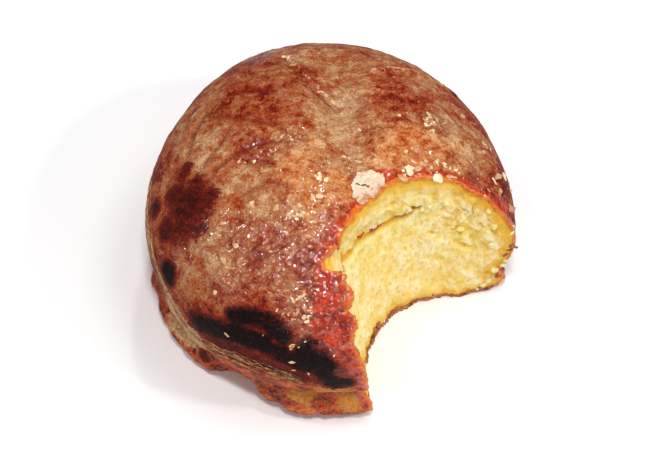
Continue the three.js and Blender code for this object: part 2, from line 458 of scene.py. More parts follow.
# lines across the skin, each with its width and its depth or height
creases = [
    ([(-26, 19, 46), (-22, 20, 47), (-18.5, 19, 49), (-14, 18, 50)], 0.9, 0.7),
    ([(-34, 2, 44), (-33, 9, 44), (-31, 14, 44), (-26.5, 12, 47), (-20, 9.5, 50), (-13, 7, 52)], 0.9, 0.7),
    ([(-27, -4, 48), (-23, -1, 50), (-20, 1, 51), (-16, 2, 51.5), (-12, 2.3, 52)], 0.9, 0.7),
    ([(-13, 32, 44.5), (-9, 25, 48), (-4.5, 18.5, 49), (-1.6, 16.5, 48), (0.6, 14.5, 47.5)], 0.8, 0.7),
    ([(9, 29, 46), (14, 31, 44), (19, 30.5, 42.5), (24, 29, 40)], 0.8, 0.7),
    ([(20, 20, 46), (26, 18, 45), (31, 13, 44)], 0.8, 0.5),
    ([(-9, -24, 49), (-13, -27, 47.5), (-19, -28, 45.5)], 0.7, 0.5),
    ([(-24, 28, 40), (-16, 33, 40), (-9, 37, 38), (0, 38, 38)], 0.9, 0.8),
    ([(30, 26, 38), (24, 33, 36), (16, 37, 35)], 0.9, 0.7),
    ([(-10, -10, 52), (-15, -9, 51), (-20, -12, 50)], 0.7, 0.4),
    ([(6, 6, 51), (12, 8, 50), (17, 7, 50)], 0.7, 0.4),
    ([(-30, -2, 47), (-26, 3, 48.5), (-24, 8, 48.5)], 0.7, 0.5),
]
ridges = [
    ([(8.8, 26.5, 47.5), (12.4, 28.2, 46), (16, 28.7, 45), (20.5, 29, 43), (26, 28, 40)], 0.8, 0.7),
    ([(-11, 31, 45), (-7, 24, 48.5), (-2.5, 18.4, 48.6), (1.5, 17, 47.2), (3, 19, 47.8)], 0.7, 0.6),
    ([(-25, 21, 45.5), (-21, 21.8, 46.6), (-16, 20.5, 48.5)], 0.9, 0.4),
    ([(-27, -2.4, 48), (-23, 0.8, 49.5), (-19, 2.6, 50.5), (-14, 3.8, 51.6)], 0.9, 0.4),
]
blister = {"middle": (-3.3, 0.7, 52.3), "radius": 1.8, "steps": 12}  # a small ring near the top


def ring(middle, radius, steps):
    x, y, z = middle
    turns = [2 * math.pi * step / steps for step in range(steps + 1)]
    return [(x + radius * math.cos(turn), y + radius * math.sin(turn), z) for turn in turns]


ridges.append((ring(**blister), 0.5, 0.6))
reliefLines = [(line, width, -depth) for line, width, depth in creases] + ridges
chalkLines = [
    [(-12, 32, 45), (-8, 25, 48), (-3.5, 19, 48.7), (-0.6, 17.5, 47.5), (1.4, 15.4, 47.2)],
    [(8.8, 26.4, 47.6), (12.4, 28.2, 46.2), (16, 28.7, 45), (20.4, 29.2, 42.8), (25.8, 27.9, 40.3)],
    [(1.4, 15.4, 47.2), (3, 18.8, 47.8)],
]
# the crease under the folded lip, on the bite's wall
foldCrease = [
    (4.4, -20, 36.5), (5.8, -17.5, 36.5), (7.5, -14.5, 35.6), (9.8, -12.3, 34.8), (12, -10, 34.2),
    (14.8, -8, 34.2), (16.8, -7.2, 35.4), (18.6, -6.8, 37), (20, -6.6, 38.6),
]
# dried glaze beside the foot, and the waist's line from the back left to the front right
paleSpots = [
    ((-37.5, -22, 8), 3.0, 1.0), ((-35.5, -24.5, 9), 3.2, 1.1), ((-33, -27.5, 10), 3.0, 1.1),
    ((-31.5, -30.5, 15), 3.2, 1.1), ((-30, -33, 18), 2.6, 1.1), ((-36, -26, 21), 3.2, 1.0),
]
collar = [
    (-40, 18, 24), (-43.5, 8, 28), (-44, 0, 31), (-43.5, -6, 31), (-42.4, -13, 31), (-41, -18, 29.5),
    (-38.5, -24, 26.5), (-36, -27.3, 24.3), (-33.6, -30, 21), (-30, -33.7, 20.6), (-26, -37, 21.6),
    (-22.3, -39.5, 23.5), (-17.5, -42, 24.5), (-13.5, -43.4, 24.5), (-8, -45, 24), (-4.6, -45.3, 22.5),
]


def spots(at, places):
    # the strongest of some round spots at each point, each fading out around its edge
    strongest = np.zeros(len(at))
    for place, spread, strength in places:
        share = np.linalg.norm(at - np.array(place, float), axis=1) / spread
        strongest = np.maximum(strongest, strength * (1 - ease(share, 0.3, 1.7)))
    return strongest


def lineSpots(at, lines):
    # the same for lines
    strongest = np.zeros(len(at))
    for line, spread, strength in lines:
        strongest = np.maximum(strongest, strength * (1 - ease(toLine(at, line) / spread, 0.3, 1.7)))
    return strongest


def copyPiece(piece, name):
    twin = piece.copy()
    twin.data = piece.data.copy()
    twin.name = name
    bpy.context.scene.collection.objects.link(twin)
    return twin


def nearFold(at):
    return 1 - ease(toLine(at, foldCrease), 4, 7)


def seam(piece):
    # above 0 the crumb shows and below it the crust, in millimetres from the bite's edge
    at = points(piece)
    inside = getField(piece, "fromSkin") - getField(piece, "fromWall")
    toBite = at[:, :2] - np.array(biteCentre)
    left = ease(-toBite[:, 0], 14, 20) * ease(at[:, 2], 6, 14)
    rag = crustLook["rag"] + (crustLook["leftRag"] - crustLook["rag"]) * left
    ragged = rag * (roughly(at, 2.9, 1) + 0.7 * roughly(at, 1.2, 2))
    notched = sum(deep * spots(at, [(place, wide, 1.0)]) for place, wide, deep in notches)
    low = 1 - ease(at[:, 2], 0.5, crustLook["baseLip"] * 2)
    lip = low * (crustLook["baseLip"] + 1.3 * np.clip(roughly(at, 3.2, 5) + 0.2, 0, 1))
    return inside + ragged + notched - lip


def markCrust(piece, at, edge, wetness):
    # the fields that its material reads
    wide = 1.4 + 2.6 * bell(at[:, 0] + 33, 5)
    paleLine = (1 - ease(toLine(at, collar[:11]) / wide, 0.3, 1.3)) * (1 - ease(at[:, 0], -31, -26))
    setFields(piece, {
        "burnt": np.maximum(spots(at, burntSpots), lineSpots(at, burntLines)),
        "tone": spots(at, tanSpots) - spots(at, redSpots),
        "orange": spots(at, orangeSpots),
        "raw": spots(at, rawSpots),
        "ochre": spots(at, ochreSpots),
        "wetness": wetness,
        "pale": np.maximum(paleLine, spots(at, paleSpots)),
        "seam": edge,
        # painted shade along the sunk creases
        "wrinkle": np.max([bell(toLine(at, line), 0.75 * width) for line, width, depth in creases], axis=0),
        "chalk": np.max([bell(toLine(at, line), 0.6) for line in chalkLines], axis=0),
    })


def makeCrust():
    piece = copyPiece(dough, "crust")
    at = points(piece)
    edge = seam(piece)
    inside = getField(piece, "fromSkin") - getField(piece, "fromWall")
    level = at[:, 2]
    covered = ease(edge, -0.1, 0.6)
    skin = ease(-edge, 0.3, 2.0) * ease(level, 0.3, 1.6)
    folded = nearFold(at)
    wetness = spots(at, wetSpots)
    flap = spots(at, flapSpots) * ease(edge, -4.5, -0.6) * (1 - ease(edge, 0.0, 0.8))
    weights = {
        "sunk": covered * (1 - folded),
        "sunkBack": covered * folded,
        "lip": (1 - ease(level, 1.0, 3.5)) * ease(inside, -0.8, 0.2) * (1 - covered),
        "rim": ease(edge, -1.6, -0.5) * (1 - ease(edge, -0.3, 0.2)),
        "skin": skin,
        "foot": skin * (1 - ease(level, *crustLook["footTop"])) * ease(level, 0.6, 3),
        "wet": skin * wetness,
        "flap": flap * (0.85 + 0.15 * roughly(at, 2.4, 9)),
    }
    for number, (line, width, height) in enumerate(reliefLines):
        weights[f"line{number}"] = skin * bell(toLine(at, line), width)
    setWeights(piece, weights)
    markCrust(piece, at, edge, wetness)

    pushOut(piece, -crustLook["sunk"], "sunk")
    pushOut(piece, crustLook["lipStep"], "lip")
    pushOut(piece, crustLook["rimStep"], "rim")
    slide(piece, crustLook["sunk"], "Y", "sunkBack")
    slide(piece, crustLook["flap"], "X", "flap")
    pushOut(piece, crustLook["lumps"], "skin", cloudTexture(9))
    for number, (line, width, height) in enumerate(reliefLines):
        pushOut(piece, height, f"line{number}")
    pushOut(piece, crustLook["footLumps"], "foot", cloudTexture(4.2, 3))
    pushOut(piece, crustLook["film"], "skin", cloudTexture(2.2, 3))
    pushOut(piece, crustLook["crinkle"], "wet", cloudTexture(1.5, 1))
    return piece


crustColours = {
    # ramps: the sugar film from thin to thick, the same where it is warmer, and the skin below the waist
    "film": [(0.0, (0.13, 0.008, 0.004)), (0.25, (0.31, 0.038, 0.011)), (0.5, (0.36, 0.098, 0.032)),
             (0.75, (0.41, 0.165, 0.065)), (1.0, (0.58, 0.34, 0.17))],
    "warmFilm": [(0.0, (0.24, 0.025, 0.008)), (0.3, (0.46, 0.085, 0.016)), (0.6, (0.58, 0.2, 0.05)),
                 (1.0, (0.72, 0.42, 0.2))],
    "flank": [(0.28, (0.06, 0.007, 0.006)), (0.4, (0.22, 0.018, 0.007)), (0.53, (0.44, 0.045, 0.01)),
              (0.66, (0.6, 0.14, 0.025)), (0.8, (0.66, 0.32, 0.11))],
    # pairs, dark and light
    "ochre": ((0.46, 0.14, 0.016), (0.66, 0.29, 0.045)),
    "pale": ((0.4, 0.2, 0.075), (0.74, 0.48, 0.24)),
    "burnt": ((0.045, 0.005, 0.005), (0.27, 0.024, 0.011)),
    "raw": ((0.15, 0.006, 0.004), (0.74, 0.06, 0.008)),
    "base": ((0.22, 0.035, 0.012), (0.6, 0.2, 0.035)),
    "sugar": (0.7, 0.46, 0.28),
    # painted shade in the crust's pits
    "pitShade": (0.13, 0.012, 0.007),
    # painted shade in the creases
    "wrinkle": (0.17, 0.014, 0.006),
    "chalk": (0.7, 0.47, 0.28),
    "vein": (0.62, 0.25, 0.08),
    "hem": (0.55, 0.12, 0.02),
    "char": (0.008, 0.004, 0.004),
    "rawEdge": (0.82, 0.17, 0.014),
    "rim": (0.78, 0.34, 0.04),
    "lightFleck": (0.7, 0.44, 0.24),
    "darkFleck": (0.13, 0.014, 0.008),
}


def crustClouds(place):
    # the noises that the crust's colour and relief are made of, and the height of each place
    bent = place.warped(7, 2.2)
    veins = place.warped(2.5, 0.9).lumps(1.7, 2, 0.6) - 0.5
    return {
        "broad": bent.lumps(9, 3, 0.55),
        "middle": bent.lumps(2.4, 4, 0.62),
        "fine": place.warped(1.5, 0.6).lumps(0.8, 3, 0.7),
        "streak": place.warped(6, 3).stretched((0.7, 1.2, 1.2)).lumps(2.2, 4, 0.68),
        "grain": place.lumps(0.42, 2, 0.7),
        "blotch": place.warped(4, 2.5).lumps(3.6, 5, 0.66),
        "fleck": place.warped(1.2, 0.3).lumps(0.55, 1, 0.5),
        "crackle": 1 - place.warped(1.6, 0.7).cells(2.1, "DISTANCE_TO_EDGE").above(0.0, 0.06),
        # small pits, sunk in the relief and painted dark as painted shade
        "shadedPits": 1 - place.warped(0.8, 0.2).cells(1.25).above(0.1, 0.27),
        "vein": 1 - (veins * veins).above(0.0, 0.0035),
        "level": place.height(),
    }


def filmColour(start, clouds):
    # the sugar film, from bare red-brown crust to pale where it is thick
    middle = clouds["middle"]
    # painted shade: lower down the bun the film value drops, so the crust is painted darker and redder there
    low = 1 - clouds["level"].stirred(clouds, broad=8).above(28, 46)
    film = start.field("tone") * 0.24 + clouds["vein"] * 0.06 - low * 0.36 + 0.49
    film = film.stirred(clouds, broad=0.7, middle=0.9, streak=1.2, fine=0.9, blotch=1.7, grain=1.0)
    warm = (film * 0.9 + 0.06).ramp(crustColours["warmFilm"])
    lean = start.field("orange").stirred(clouds, middle=1.1, blotch=1.4, fine=0.6)
    colour = lean.above(0.2, 0.95).blend(film.ramp(crustColours["film"]), warm)
    crackled = clouds["crackle"] * film.above(0.35, 0.6) * (middle * 0.7 - 0.05)
    colour = crackled.blend(colour, crustColours["sugar"])
    # painted shade: the pits are darkened where they sink
    pitShading = clouds["shadedPits"] * (1 - middle).above(0.45, 0.6) * 0.75
    colour = pitShading.blend(colour, crustColours["pitShade"])
    # painted shade: darker red-brown along the creases that are pushed in
    colour = (start.field("wrinkle") * (middle * 1.2 + 0.1)).blend(colour, crustColours["wrinkle"])
    chalk = start.field("chalk").stirred(clouds, fine=1.6, middle=1.6).above(0.6, 1.0)
    return (chalk * 0.8).blend(colour, crustColours["chalk"])


def flankColour(start, clouds, hem):
    # below the waist it is darker and redder, with ochre patches and an orange hem
    mottle = (clouds["blotch"] * 1.2 - 0.1).stirred(clouds, fine=0.3, middle=0.7)
    ochre = start.field("ochre").stirred(clouds, middle=1.1, streak=0.6).above(0.35, 0.75)
    ochreTone = clouds["fine"].above(0.3, 0.7).blend(*crustColours["ochre"])
    colour = (ochre * 0.85).blend(mottle.ramp(crustColours["flank"]), ochreTone)
    colour = (clouds["vein"] * 0.22).blend(colour, crustColours["vein"])
    return (hem * 0.8).blend(colour, crustColours["hem"])


def burntColour(clouds, burnt):
    # maroon, and black where it burnt most
    spread = clouds["fine"].stirred(clouds, middle=0.8, grain=0.4).above(0.35, 0.78)
    return burnt.above(0.75, 1.25).blend(spread.blend(*crustColours["burnt"]), crustColours["char"])


def rawColour(clouds, inward):
    # red beside the bite, and orange at its very edge
    spread = (clouds["fine"] * 0.7 + clouds["middle"] * 0.5 - 0.1).above(0.3, 0.72)
    edge = inward.stirred(clouds, fine=1.6).above(-1.7, -0.7)
    return (edge * 0.8).blend(spread.blend(*crustColours["raw"]), crustColours["rawEdge"])


def crustMaterial():
    material, start, place = newMaterial("glazed crust")
    clouds = crustClouds(place)
    middle, fine, fleck, level = [clouds[name] for name in ("middle", "fine", "fleck", "level")]
    inward = start.field("seam")
    wetness = start.field("wetness")

    colour = filmColour(start, clouds)
    under = level.stirred(clouds, broad=7, middle=4)
    under = 1 - under.above(crustLook["waist"] - 2, crustLook["waist"] + 1)
    hem = 1 - level.stirred(clouds, middle=4).above(1.4, 3.6)
    colour = under.blend(colour, flankColour(start, clouds, hem))
    pale = (start.field("pale") * 1.1 + clouds["vein"] * 0.1).stirred(clouds, streak=1.8, fine=0.9)
    colour = (pale.above(0.35, 0.9) * 0.9).blend(colour, fine.above(0.3, 0.7).blend(*crustColours["pale"]))
    burnt = start.field("burnt").stirred(clouds, blotch=1.4, streak=1.1, middle=1.3, fine=0.9, grain=0.4)
    charred = burnt.above(0.34, 0.64)
    colour = charred.blend(colour, burntColour(clouds, burnt))
    raw = start.field("raw").stirred(clouds, middle=1.0, fine=0.5).above(0.35, 0.7)
    red = raw.most(inward.stirred(clouds, middle=4.2, fine=1.6).above(-3.3, -2.0))
    colour = (red * (1 - charred * 0.7)).blend(colour, rawColour(clouds, inward))
    rim = inward.stirred(clouds, fine=0.8).above(-0.6, -0.05)
    colour = rim.blend(colour, crustColours["rim"])
    base = hem * inward.above(-2.5, -0.5)
    colour = base.blend(colour, fine.above(0.35, 0.65).blend(*crustColours["base"]))
    colour = (fleck.above(0.7, 0.77) * 0.5 * (1 - charred)).blend(colour, crustColours["lightFleck"])
    colour = ((1 - fleck).above(0.67, 0.76) * 0.65).blend(colour, crustColours["darkFleck"])

    relief = middle * 0.5 + fine * 0.45 + clouds["streak"] * 0.3 + clouds["crackle"] * 0.12
    relief = relief + fine.above(0.45, 0.7) * wetness * 0.4 - clouds["shadedPits"] * 0.08
    dry = {"Base Color": colour, "Roughness": 0.62, "Specular IOR Level": 0.04}
    dry["Normal"] = relief.bump(crustLook["grain"])
    # the glaze lies smooth over the grain, in soft drops of its own
    glazed = {"Base Color": colour, "Roughness": 0.06, "Specular IOR Level": 0.8, "IOR": 1.65}
    glazed["Normal"] = place.warped(3, 1.2).lumps(2.6, 1, 0.5).bump(crustLook["drops"])
    wet = (wetness + red * 0.5 + under * 0.2 + 0.04).least(1.0) * (middle * 1.6 + 0.2).least(1.0)
    wet = wet * (1 - charred * 0.6) * crustLook["glaze"]
    shaders = {0: wet, 1: surface(start, dry), 2: surface(start, glazed)}
    start.node("OutputMaterial", {}, {"Surface": start.node("MixShader", {}, shaders, "Shader")})
    return material


crust = makeCrust()
wear(crust, crustMaterial())
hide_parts("doughnut")
print("crust:", len(crust.data.polygons), "faces")


# ---- the crumb: a torn slab over the bite's wall

crumbLook = {
    "margin": 1.5,  # it runs this far under the crust
    "tuck": 1.0,
    "keptFaces": 0.62,  # the back is thinned
    "thickness": 1.6,
    "tallness": 1.6,  # its grain is taller than wide
    "underFold": 1.2,  # the wall goes in under the fold, and the fold hangs over it
    "overFold": -1.1,
    # its reliefs: where they are, how deep, how wide their lumps and how detailed
    "reliefs": [("open", 1.3, 4.4, 2), ("rough", 2.6, 2.2, 3), ("open", 0.8, 1.3, 2), ("open", 0.3, 0.5, 1)],
}
# where it tore roughest
crags = [
    ((26, -6, 40), 5, 1.0), ((33, -6, 37), 6, 1.0), ((38, -6, 31), 5, 1.0), ((41, -6, 22), 5, 1.0),
    ((29, -6, 31), 5, 0.6), ((41, -5, 10), 5, 1.0), ((19, -7, 39), 2.5, 0.8), ((36, -6, 24), 5, 0.6),
]
tears = [
    # a line, its width and its depth
    ([(23.5, -7, 28.6), (26, -6.5, 27)], 0.4, 0.8),
    ([(29.5, -5.5, 39.5), (31.5, -5.7, 38), (32.5, -6, 36.6)], 0.5, 0.9),
    ([(37.5, -6.5, 32), (38.7, -7, 30.5), (39.6, -7, 28.5)], 0.45, 0.8),
    ([(17, -7.6, 41.6), (19, -7, 40.2), (20.5, -6.8, 38.6)], 0.7, 1.2),
    ([(14.7, -9, 43.2), (15.1, -8.8, 42.4)], 0.75, 0.8),
    ([(31, -6, 23), (34.5, -6, 21)], 1.0, 0.6),
    ([(24, -6, 35), (30, -5.6, 32), (36, -6, 28)], 0.7, 0.4),
    ([(27, -6, 30), (33, -6, 27), (38, -6, 22)], 0.7, 0.4),
]


def makeCrumb():
    piece = copyPiece(dough, "crumb")
    edge = seam(piece)
    faceEdge = np.array([edge[list(f.vertices)].max() for f in piece.data.polygons])
    pickFaces(piece, faceEdge < -crumbLook["margin"])
    bpy.ops.mesh.delete(type="FACE")
    bpy.ops.mesh.select_all(action="SELECT")
    bpy.ops.mesh.subdivide(number_cuts=1, smoothness=0)
    closeMesh()
    at = points(piece)
    facing = readAll(piece.data.vertex_normals, "vector")
    edge = seam(piece)
    bare = ease(edge, 0.2, 1.2)
    fold = toLine(at, foldCrease) + 0.4 * roughly(at, 2.0, 8)
    overFold = toLine(at - np.array((0, 0, 2.2)), foldCrease)
    weights = {
        "tucked": 1 - ease(edge, -0.9, 0.0),
        "open": ease(edge, -0.2, 1.5),
        "rough": ease(edge, 0.0, 1.5) * spots(at, crags),
        "underFold": bare * bell(fold, 1.5),
        "overFold": bare * bell(overFold, 1.6),
    }
    strayed = at + 0.4 * roughly(at, 1.5, 7)[:, None]
    for number, (line, width, depth) in enumerate(tears):
        weights[f"tear{number}"] = bare * bell(toLine(strayed, line), width)
    setWeights(piece, weights)

    bpy.ops.object.empty_add()
    grainFrame = bpy.context.object
    grainFrame.scale.z = crumbLook["tallness"]
    bpy.context.view_layer.update()
    settings = {"texture_coords": "OBJECT", "texture_coords_object": grainFrame, "mid_level": 0.5}
    for group, depth, size, detail in crumbLook["reliefs"]:
        settings.update({"texture": cloudTexture(size, detail), "vertex_group": group})
        applyModifier(piece, "DISPLACE", strength=depth * mm, **settings)
    bpy.data.objects.remove(grainFrame)
    slide(piece, crumbLook["underFold"], "Y", "underFold")
    slide(piece, crumbLook["overFold"], "Z", "overFold")
    for number, (line, width, depth) in enumerate(tears):
        pushOut(piece, -depth, f"tear{number}")
    pushOut(piece, -crumbLook["tuck"], "tucked")
    # how far the relief moved each point out; the crumb's colour uses it to paint its hollows deeper yellow
    # as painted shade
    raised = ((points(piece) - at) * facing).sum(1)
    # fold: nearness to the crease under the lip, which the crumb's colour uses for its painted shadow
    setFields(piece, {"depth": edge, "fold": bell(fold, 1.3), "raised": raised})

    # its back, thin at the edge and near the fold, and with fewer faces
    setWeights(piece, {"thick": 0.1 + 0.9 * ease(edge, 0.3, 3) * (1 - 0.8 * nearFold(points(piece)))})
    piece.vertex_groups.new(name="back")
    walls = {"thickness": crumbLook["thickness"] * mm, "offset": -1.0}
    applyModifier(piece, "SOLIDIFY", vertex_group="thick", shell_vertex_group="back", **walls)
    applyModifier(piece, "DECIMATE", ratio=crumbLook["keptFaces"], vertex_group="back")
    return piece


crumbColours = {
    # the crumb's ramp, from deep yellow to pale cream: it carries the crumb's mottle and also the painted
    # shade of its hollows
    "crumb": [(0.0, (0.8, 0.52, 0.09)), (0.3, (0.87, 0.63, 0.16)), (0.55, (0.9, 0.71, 0.29)),
              (0.9, (0.95, 0.82, 0.52))],
    # painted shade in the crumb's pits
    "pitShade": (0.74, 0.48, 0.08),
    # painted shadow: the yellow-brown shade under the folded lip
    "fold": (0.6, 0.31, 0.025),
    "edge": (0.8, 0.46, 0.04),
    "rim": (0.74, 0.24, 0.025),
}


def crumbMaterial():
    material, start, place = newMaterial("torn crumb")
    tall = place.stretched((1.0, 1.0, 1 / crumbLook["tallness"]))
    pore = tall.warped(2, 0.4).lumps(1.1, 3, 0.62)
    small = tall.lumps(0.45, 2, 0.6)
    clouds = {"pore": pore, "small": small, "soft": tall.warped(4, 1.6).lumps(3.2, 3, 0.6)}
    # pits in the crumb's grain, sunk in its relief and painted deeper yellow as painted shade
    shadedPits = 1 - tall.warped(2.2, 0.9).cells(1.6).above(0.12, 0.42)
    # painted shade: the crumb is painted deeper yellow where its relief sank and paler where it rose, along
    # with its mottle
    pale = (start.field("raised") * 0.45 + 0.55).stirred(clouds, pore=0.9, soft=1.5, small=0.5)
    colour = (shadedPits * (pore * 1.6 - 0.35)).blend(pale.ramp(crumbColours["crumb"]), crumbColours["pitShade"])
    # painted shadow under the folded lip, in yellow-brown
    foldShadow = start.field("fold").stirred(clouds, soft=0.5, pore=0.4).above(0.2, 0.95)
    colour = (foldShadow * 0.9).blend(colour, crumbColours["fold"])
    depth = start.field("depth")
    edge = 1 - depth.stirred(clouds, soft=3.2, pore=1.6).above(1.2, 6.0)
    colour = (edge * 0.92).blend(colour, crumbColours["edge"])
    rim = 1 - depth.stirred(clouds, pore=1.4).above(0.3, 1.1)
    colour = rim.blend(colour, crumbColours["rim"])
    look = {"Base Color": colour, "Roughness": 0.9, "Specular IOR Level": 0.15}
    look.update({"Subsurface Weight": 0.3, "Subsurface Scale": 1.5 * mm})
    closeMaterial(start, look, pore * 0.5 + small * 0.35 - shadedPits * 0.25, 0.45)
    return material


crumb = makeCrumb()
wear(crumb, crumbMaterial())
print("crumb:", len(crumb.data.polygons), "faces")
bpy.data.objects.remove(dough)


# ---- small things stuck to the crust and the crumb

def wholeTree(piece):
    return faceTree(piece, np.ones(len(piece.data.polygons), bool))


crustTree = wholeTree(crust)
crumbTree = wholeTree(crumb)


def onSurface(tree, place):
    # the nearest place on the surface, and which way it faces there
    return tree.find_nearest(Vector(place))[:2]


def stray(reach):
    return Vector([random.gauss(0, reach) for axis in range(3)])


def scatteredOn(tree, count, middle, wanted):
    # places where rays towards the middle from all round meet the surface, kept if wanted
    kept = []
    while len(kept) < count:
        ray = stray(1).normalized()
        where, facing = tree.ray_cast(Vector(middle) + 90 * ray, -ray)[:2]
        if where is not None and wanted(where):
            kept.append(where)
    return kept


def joined(pieces):
    pickOnly(pieces[0])
    for piece in pieces:
        piece.select_set(True)
    bpy.ops.object.join()
    bpy.ops.object.transform_apply(location=True, rotation=True, scale=True)
    return pieces[0]


def makeFlake(number, corners):
    bpy.ops.mesh.primitive_circle_add(vertices=corners, radius=mm, fill_type="NGON")
    piece = bpy.context.object
    openMesh(piece)
    bpy.ops.mesh.poke(offset=flakeLook["rise"] * mm)
    bpy.ops.mesh.select_all(action="SELECT")
    bpy.ops.transform.vertex_random(offset=flakeLook["shake"] * mm, seed=number)
    closeMesh()
    applyModifier(piece, "SOLIDIFY", thickness=flakeLook["thickness"] * mm, offset=0.0)
    return piece


def makeBead(number, shake, flatness):
    bpy.ops.mesh.primitive_ico_sphere_add(subdivisions=2, radius=mm, scale=(1, 1, flatness))
    piece = bpy.context.object
    bpy.ops.object.transform_apply(location=False, rotation=False, scale=True)
    openMesh(piece)
    bpy.ops.transform.vertex_random(offset=shake * mm, seed=number)
    closeMesh()
    bpy.ops.object.shade_smooth()
    return piece


def placeCopies(name, models, tree, stands, tilt, sink=0.0):
    # each stand is a place and a size; the copies become one piece, and the models go
    copies = []
    for place, size in stands:
        where, facing = onSurface(tree, place)
        turn = (facing + stray(tilt)).to_track_quat("Z", "Y")
        turn = turn @ Quaternion((0, 0, 1), random.uniform(0, 2 * math.pi))
        stretch = random.uniform(0.65, 1.5)
        twin = copyPiece(random.choice(models), name)
        sizes = Vector((size * stretch, size / stretch, size * random.uniform(0.7, 1.2)))
        twin.matrix_world = Matrix.LocRotScale((where - sink * size * facing) * mm, turn, sizes)
        setFields(twin, {"shade": random.random()})
        copies.append(twin)
    for piece in models:
        bpy.data.objects.remove(piece)
    return joined(copies)


def mottled(name, look, relief):
    # two colours mottled by one noise
    material, start, place = newMaterial(name)
    soft = place.lumps(look["lumps"], 3, 0.6)
    colour = soft.above(*look["edges"]).blend(*look["colours"])
    closeMaterial(start, {"Base Color": colour, **look["gloss"]}, soft, relief)
    return material


flakeLook = {
    "scattered": 110,
    "sizes": (0.2, 0.75),
    "tilt": 0.3,
    "glints": 4,  # slivers at each glint place, how far they stray, and their sizes
    "glintStray": 0.6,
    "glintSizes": (0.2, 0.62),
    "rise": 0.15,  # at their middles
    "shake": 0.42,
    "thickness": 0.34,
    "colours": [(0.2, (0.42, 0.12, 0.04)), (0.45, (0.62, 0.35, 0.15)), (0.7, (0.86, 0.69, 0.44))],
}
glintPlaces = [
    (-6.7, -35.8, 43.4), (-5.6, -35.6, 43.6), (-4.7, -35.3, 44), (-7.6, -38.4, 41.1), (-6.2, -38.3, 41.4),
    (-5.1, -39.3, 40.5), (-3.5, -37.1, 42.7), (-4.4, -38.4, 41.6), (-7.4, -43.2, 34.6),
    (-18, -14.5, 49.9), (-19.7, -2.6, 50.7), (-9, 2.7, 52.5), (-7.8, 3.6, 52.5), (-13.5, -1.1, 52.1),
    (-2.8, -8, 52.4), (-6.4, -16.3, 51.4), (-5.7, -17.3, 51.3), (-6.8, -18, 51), (-7.6, -15, 51.5),
    (3.1, 13.5, 47.9), (22, 10.7, 48.9), (22.7, 11.9, 48.4), (23.7, 11.2, 48.2), (23.5, 8.5, 48.7),
    (18.2, 12.2, 49.8), (37.2, 11.3, 39), (31.3, 17.1, 42.3), (-21.1, -24.4, 46), (-24.4, -18.2, 46.9),
    (13.5, -5.3, 51), (17.5, -5.1, 51), (19.1, -5.7, 50.6), (22.1, -1, 50), (24.4, -1.2, 49.2),
    (27.3, -0.9, 48.1), (29.2, -1.7, 47.2), (-12, 32, 45), (-10, 28.5, 46.6), (-1, -13, 51.8),
]
flakePlaces = [
    ((18.6, -4.4, 51), 1.3), ((16.8, -6.6, 51), 1.2), ((20.5, -3.5, 51), 0.9), ((24.9, -5.1, 49), 1.2),
    ((26.8, -1.9, 48), 1.0), ((28, -3.5, 48), 0.9), ((39.5, 2.8, 39), 1.3), ((40.2, -1.8, 39), 1.3),
    ((38.5, 0.5, 40), 1.0), ((35.3, 7.7, 42), 1.2), ((42.5, -3, 34), 1.2), ((43, -6, 31), 1.0),
    ((43.8, -7, 27), 1.1), ((41.5, 5, 36), 0.9), ((24.4, 12.8, 47.5), 1.3), ((26, 12, 47), 0.9),
    ((22.5, 13.8, 48), 0.9), ((-10.6, 2.2, 52.4), 1.0), ((-12, 3, 52.4), 0.7), ((-2.6, -8, 52.4), 1.2),
    ((-0.8, -8.6, 52), 0.8), ((1.8, 19, 47.5), 0.8), ((-12, 32, 45), 0.8), ((-10, 28, 47), 0.7),
    ((-2, -13, 52), 1.1), ((-3.5, -14, 51.8), 0.9), ((-12, -16, 51), 0.8), ((-6.5, -14, 51.8), 0.7),
]
beadLook = {
    "voxel": 0.2,  # they are melted together at this fineness
    "crowding": 1.5,
    "sizes": (0.25, 0.75),
    "lumps": 0.8,
    "edges": (0.35, 0.75),
    "colours": ((0.34, 0.06, 0.02), (0.58, 0.26, 0.1)),
    "gloss": {"Roughness": 0.08, "Specular IOR Level": 1.0},
}


def offTheBite(where):
    # more of them towards the front right, and none low down or on the bite
    near = where.x * 0.012 - where.y * 0.01 + 0.45
    return wallTree.find_nearest(where)[3] > 1.2 and where.z > 14 and random.random() < near


def flakeMaterial():
    material, start, place = newMaterial("flaked glaze")
    soft = place.lumps(1.1, 3, 0.6)
    fine = place.lumps(0.35, 2, 0.6)
    shade = soft * 0.6 + fine * 0.25 + (start.field("shade") - 0.5) * 0.5 + 0.08
    look = {"Base Color": shade.ramp(flakeLook["colours"]), "Roughness": 0.25}
    look.update({"Coat Weight": 0.5, "Coat Roughness": 0.1})
    closeMaterial(start, look, soft * 0.6 + fine * 0.4, 0.2)
    return material


def makeFlakes():
    models = [makeFlake(number, 6 + number % 3) for number in range(6)]
    stands = list(flakePlaces)
    for place in glintPlaces:
        for number in range(flakeLook["glints"]):
            where = Vector(place) + stray(flakeLook["glintStray"])
            stands.append((where, random.uniform(*flakeLook["glintSizes"])))
    low, high = flakeLook["sizes"]
    for where in scatteredOn(crustTree, flakeLook["scattered"], (0, 0, 18), offTheBite):
        stands.append((where, low + (high - low) * random.random() ** 2))
    return placeCopies("glaze_flakes", models, crustTree, stands, flakeLook["tilt"])


